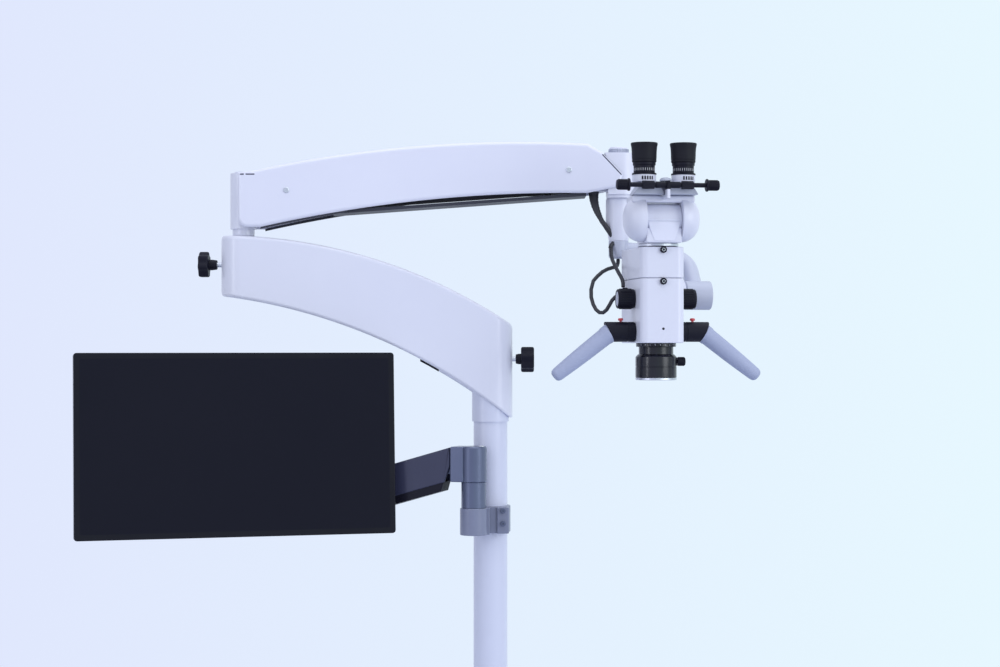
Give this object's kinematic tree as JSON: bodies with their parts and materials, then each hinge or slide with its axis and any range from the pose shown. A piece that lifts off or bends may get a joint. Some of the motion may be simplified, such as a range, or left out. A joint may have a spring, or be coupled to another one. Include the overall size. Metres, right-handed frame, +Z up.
{
  "type": "dental microscope",
  "caption": "Dental operating microscope: tiltable binocular head on a spring arm and swivel arm, with a flat screen on the column of a four-caster floor stand.",
  "frame": {"origin": "floor point under the column axis", "axes": "+Z up along the column, -Y towards the user, -X towards the screen"},
  "size_m": [1.0488, 0.6586, 1.7622],
  "materials": {
    "cast_base": "powder-coated light grey",
    "white_shell": "moulded white cover",
    "white_casting": "white enamel on an aluminium casting",
    "column_paint": "satin light grey enamel",
    "bare_steel": "turned steel",
    "zinc_steel": "zinc-plated steel",
    "black_plastic": "satin black",
    "black_gloss": "gloss black anodised",
    "arm_grey": "satin dark grey enamel",
    "knuckle_grey": "satin grey enamel",
    "grip_grey": "matt pale grey",
    "release_red": "gloss red",
    "hose_rubber": "black cable jacket",
    "wheel_rubber": "grey caster tread",
    "lens_glass": "coated lens",
    "screen_black": "gloss black housing",
    "screen_glass": "dark display glass"
  },
  "bodies": {
    "stand": {"base_frame": "cast_base", "base_cover": "white_shell", "column": "column_paint", "column_clamp": "knuckle_grey", "clamp_bolts": "bare_steel"},
    "caster_front_left": {"caster_fork_front_left": "zinc_steel"},
    "wheel_front_left": {"caster_wheel_front_left": "wheel_rubber"},
    "caster_front_right": {"caster_fork_front_right": "zinc_steel"},
    "wheel_front_right": {"caster_wheel_front_right": "wheel_rubber"},
    "caster_back_right": {"caster_fork_back_right": "zinc_steel"},
    "wheel_back_right": {"caster_wheel_back_right": "wheel_rubber"},
    "caster_back_left": {"caster_fork_back_left": "zinc_steel"},
    "wheel_back_left": {"caster_wheel_back_left": "wheel_rubber"},
    "lower_arm": {"lower_arm_shell": "white_casting", "column_sleeve": "bare_steel"},
    "column_brake": {"column_brake_knob": "black_plastic"},
    "elbow_brake": {"elbow_brake_knob": "black_plastic"},
    "elbow": {"elbow_yoke": "white_casting"},
    "upper_arm": {"arm_cover": "white_shell", "arm_beam": "arm_grey", "lift_spring": "bare_steel", "pivot_pins": "bare_steel"},
    "level_link": {"lower_link": "arm_grey"},
    "arm_end": {"end_block": "white_casting", "arm_cable": "hose_rubber"},
    "swivel_brake": {"swivel_knob": "bare_steel"},
    "carrier": {"swivel_housing": "white_casting", "yoke_arm": "white_casting", "head_cable": "hose_rubber", "loop_cable": "hose_rubber"},
    "head": {"tilt_hub": "white_casting", "head_body": "white_casting", "splitter_stage": "white_casting", "cap_screws": "black_plastic", "objective_mount": "black_gloss", "objective_barrel": "black_gloss", "binocular_base": "white_casting"},
    "magnification": {"zoom_drum": "bare_steel", "zoom_knob_left": "black_plastic", "zoom_knob_right": "black_plastic"},
    "focus": {"focus_knob": "black_plastic"},
    "lens": {"objective_lens": "lens_glass"},
    "handle_left": {"handle_joint_left": "black_plastic", "handle_grip_left": "grip_grey"},
    "handle_right": {"handle_joint_right": "black_plastic", "handle_grip_right": "grip_grey"},
    "button_left": {"release_button_left": "release_red"},
    "button_right": {"release_button_right": "release_red"},
    "binocular": {"binocular_block": "white_casting"},
    "tube_left": {"eyepiece_tube_left": "white_casting"},
    "tube_right": {"eyepiece_tube_right": "white_casting"},
    "ocular_left": {"eyepiece_left": "black_plastic"},
    "ocular_right": {"eyepiece_right": "black_plastic"},
    "spacing": {"spacing_bar": "black_plastic"},
    "knuckle": {"screen_knuckle": "knuckle_grey"},
    "link": {"screen_link": "arm_grey"},
    "forearm": {"screen_forearm": "arm_grey"},
    "pan_head": {"screen_pan_head": "arm_grey"},
    "screen": {"screen_case": "screen_black", "screen_glass": "screen_glass"}
  },
  "joints": [
    {"name": "caster_swivel_front_left", "type": "hinge", "parent": "stand", "child": "caster_front_left", "pos_m": [-0.28284, -0.28284, 0.11], "axis": [0, 0, 1], "continuous": true},
    {"name": "wheel_roll_front_left", "type": "hinge", "parent": "caster_front_left", "child": "wheel_front_left", "pos_m": [-0.29214, -0.30278, 0.0375], "axis": [0.9063, -0.4226, 0], "continuous": true},
    {"name": "caster_swivel_front_right", "type": "hinge", "parent": "stand", "child": "caster_front_right", "pos_m": [0.28284, -0.28284, 0.11], "axis": [0, 0, 1], "continuous": true},
    {"name": "wheel_roll_front_right", "type": "hinge", "parent": "caster_front_right", "child": "wheel_front_right", "pos_m": [0.27789, -0.30428, 0.0375], "axis": [0.9744, -0.225, 0], "continuous": true},
    {"name": "caster_swivel_back_right", "type": "hinge", "parent": "stand", "child": "caster_back_right", "pos_m": [0.28284, 0.28284, 0.11], "axis": [0, 0, 1], "continuous": true},
    {"name": "wheel_roll_back_right", "type": "hinge", "parent": "caster_back_right", "child": "wheel_back_right", "pos_m": [0.28246, 0.26085, 0.0375], "axis": [0.9998, -0.0175, 0], "continuous": true},
    {"name": "caster_swivel_back_left", "type": "hinge", "parent": "stand", "child": "caster_back_left", "pos_m": [-0.28284, 0.28284, 0.11], "axis": [0, 0, 1], "continuous": true},
    {"name": "wheel_roll_back_left", "type": "hinge", "parent": "caster_back_left", "child": "wheel_back_left", "pos_m": [-0.27864, 0.26125, 0.0375], "axis": [0.9816, 0.1908, 0], "continuous": true},
    {"name": "lower_arm_swivel", "type": "hinge", "parent": "stand", "child": "lower_arm", "pos_m": [0, 0, 1.4], "axis": [0, 0, 1], "range_deg": [-75, 180]},
    {"name": "column_brake_turn", "type": "hinge", "parent": "lower_arm", "child": "column_brake", "pos_m": [0.05, 0, 1.4176], "axis": [1, 0, 0], "range_deg": [0, 270]},
    {"name": "elbow_brake_turn", "type": "hinge", "parent": "lower_arm", "child": "elbow_brake", "pos_m": [-0.45, 0, 1.568], "axis": [-1, 0, 0], "range_deg": [0, 270]},
    {"name": "elbow_swivel", "type": "hinge", "parent": "lower_arm", "child": "elbow", "pos_m": [-0.395, 0, 1.64], "axis": [0, 0, 1], "range_deg": [-150, 150]},
    {"name": "arm_lift", "type": "hinge", "parent": "elbow", "child": "upper_arm", "pos_m": [-0.323, 0, 1.685], "axis": [0, -1, 0], "range_deg": [-20, 15]},
    {"name": "level_link_turn", "type": "hinge", "parent": "elbow", "child": "level_link", "pos_m": [-0.323, 0, 1.659], "axis": [0, -1, 0], "range_deg": [-20, 15]},
    {"name": "arm_end_level", "type": "hinge", "parent": "upper_arm", "child": "arm_end", "pos_m": [0.124, 0, 1.717], "axis": [0, -1, 0], "range_deg": [-15, 20]},
    {"name": "swivel_brake_turn", "type": "hinge", "parent": "arm_end", "child": "swivel_brake", "pos_m": [0.205, 0, 1.75], "axis": [0, 0, 1], "range_deg": [0, 270]},
    {"name": "head_swivel", "type": "hinge", "parent": "arm_end", "child": "carrier", "pos_m": [0.205, 0, 1.64], "axis": [0, 0, 1], "range_deg": [-30, 180]},
    {"name": "head_tilt", "type": "hinge", "parent": "carrier", "child": "head", "pos_m": [0.31556, -0.07579, 1.5173], "axis": [0.9903, 0.1392, 0], "range_deg": [-30, 30]},
    {"name": "magnification_turn", "type": "hinge", "parent": "head", "child": "magnification", "pos_m": [0.2539, -0.14, 1.5104], "axis": [0.9903, 0.1392, 0], "continuous": true},
    {"name": "focus_turn", "type": "hinge", "parent": "head", "child": "focus", "pos_m": [0.29351, -0.13443, 1.4148], "axis": [0.9903, 0.1392, 0], "range_deg": [-180, 180]},
    {"name": "lens_slide", "type": "slide", "parent": "head", "child": "lens", "axis": [0, 0, 1], "range_m": [-0.0028, 0.0028]},
    {"name": "handle_turn_left", "type": "hinge", "parent": "head", "child": "handle_left", "pos_m": [0.19504, -0.15231, 1.46], "axis": [0.9903, 0.1392, 0], "range_deg": [-60, 60]},
    {"name": "button_press_left", "type": "slide", "parent": "handle_left", "child": "button_left", "axis": [0, 0, -1], "range_m": [0, 0.0015], "stiffness_N_per_m": 400},
    {"name": "handle_turn_right", "type": "hinge", "parent": "head", "child": "handle_right", "pos_m": [0.31387, -0.13561, 1.46], "axis": [0.9903, 0.1392, 0], "range_deg": [-60, 60]},
    {"name": "button_press_right", "type": "slide", "parent": "handle_right", "child": "button_right", "axis": [0, 0, -1], "range_m": [0, 0.0015], "stiffness_N_per_m": 400},
    {"name": "binocular_incline", "type": "hinge", "parent": "head", "child": "binocular", "pos_m": [0.25891, -0.17565, 1.63], "axis": [0.9903, 0.1392, 0], "range_deg": [-5, 90]},
    {"name": "spacing_turn", "type": "hinge", "parent": "binocular", "child": "spacing", "pos_m": [0.26531, -0.2212, 1.6784], "axis": [0.9903, 0.1392, 0], "range_deg": [-54, 315]},
    {"name": "tube_slide_left", "type": "slide", "parent": "binocular", "child": "tube_left", "axis": [-0.9903, -0.1392, 0], "range_m": [-0.0012, 0.0072]},
    {"name": "dioptre_turn_left", "type": "hinge", "parent": "tube_left", "child": "ocular_left", "pos_m": [0.23171, -0.19765, 1.71], "axis": [0, 0, 1], "range_deg": [-150, 150]},
    {"name": "tube_slide_right", "type": "slide", "parent": "binocular", "child": "tube_right", "axis": [0.9903, 0.1392, 0], "range_m": [-0.0012, 0.0072]},
    {"name": "dioptre_turn_right", "type": "hinge", "parent": "tube_right", "child": "ocular_right", "pos_m": [0.29112, -0.1893, 1.71], "axis": [0, 0, 1], "range_deg": [-150, 150]},
    {"name": "knuckle_swivel", "type": "hinge", "parent": "stand", "child": "knuckle", "pos_m": [-0.026, -0.06, 1.25], "axis": [0, 0, 1], "range_deg": [-10, 90]},
    {"name": "link_lift", "type": "hinge", "parent": "knuckle", "child": "link", "pos_m": [-0.06359, -0.04632, 1.2516], "axis": [0.342, 0.9397, 0], "range_deg": [-20, 0]},
    {"name": "forearm_level", "type": "hinge", "parent": "link", "child": "forearm", "pos_m": [-0.28941, 0.03587, 1.18269], "axis": [0.342, 0.9397, 0], "range_deg": [0, 20]},
    {"name": "screen_pan", "type": "hinge", "parent": "forearm", "child": "pan_head", "pos_m": [-0.40927, -0.04791, 1.28], "axis": [0, 0, 1], "range_deg": [-40, 0]},
    {"name": "screen_tilt", "type": "hinge", "parent": "pan_head", "child": "screen", "pos_m": [-0.40293, -0.07001, 1.2837], "axis": [0.9613, 0.2756, 0], "range_deg": [-5, 7]}
  ],
  "couplings": [
    {"joint": "level_link_turn", "follows": "arm_lift", "ratio": 1},
    {"joint": "arm_end_level", "follows": "arm_lift", "ratio": -1},
    {"joint": "focus_turn", "follows": "lens_slide", "rad_per_m": 1121.9},
    {"joint": "spacing_turn", "follows": "tube_slide_left", "rad_per_m": 763.5},
    {"joint": "tube_slide_right", "follows": "tube_slide_left", "ratio": 1},
    {"joint": "forearm_level", "follows": "link_lift", "ratio": -1}
  ]
}
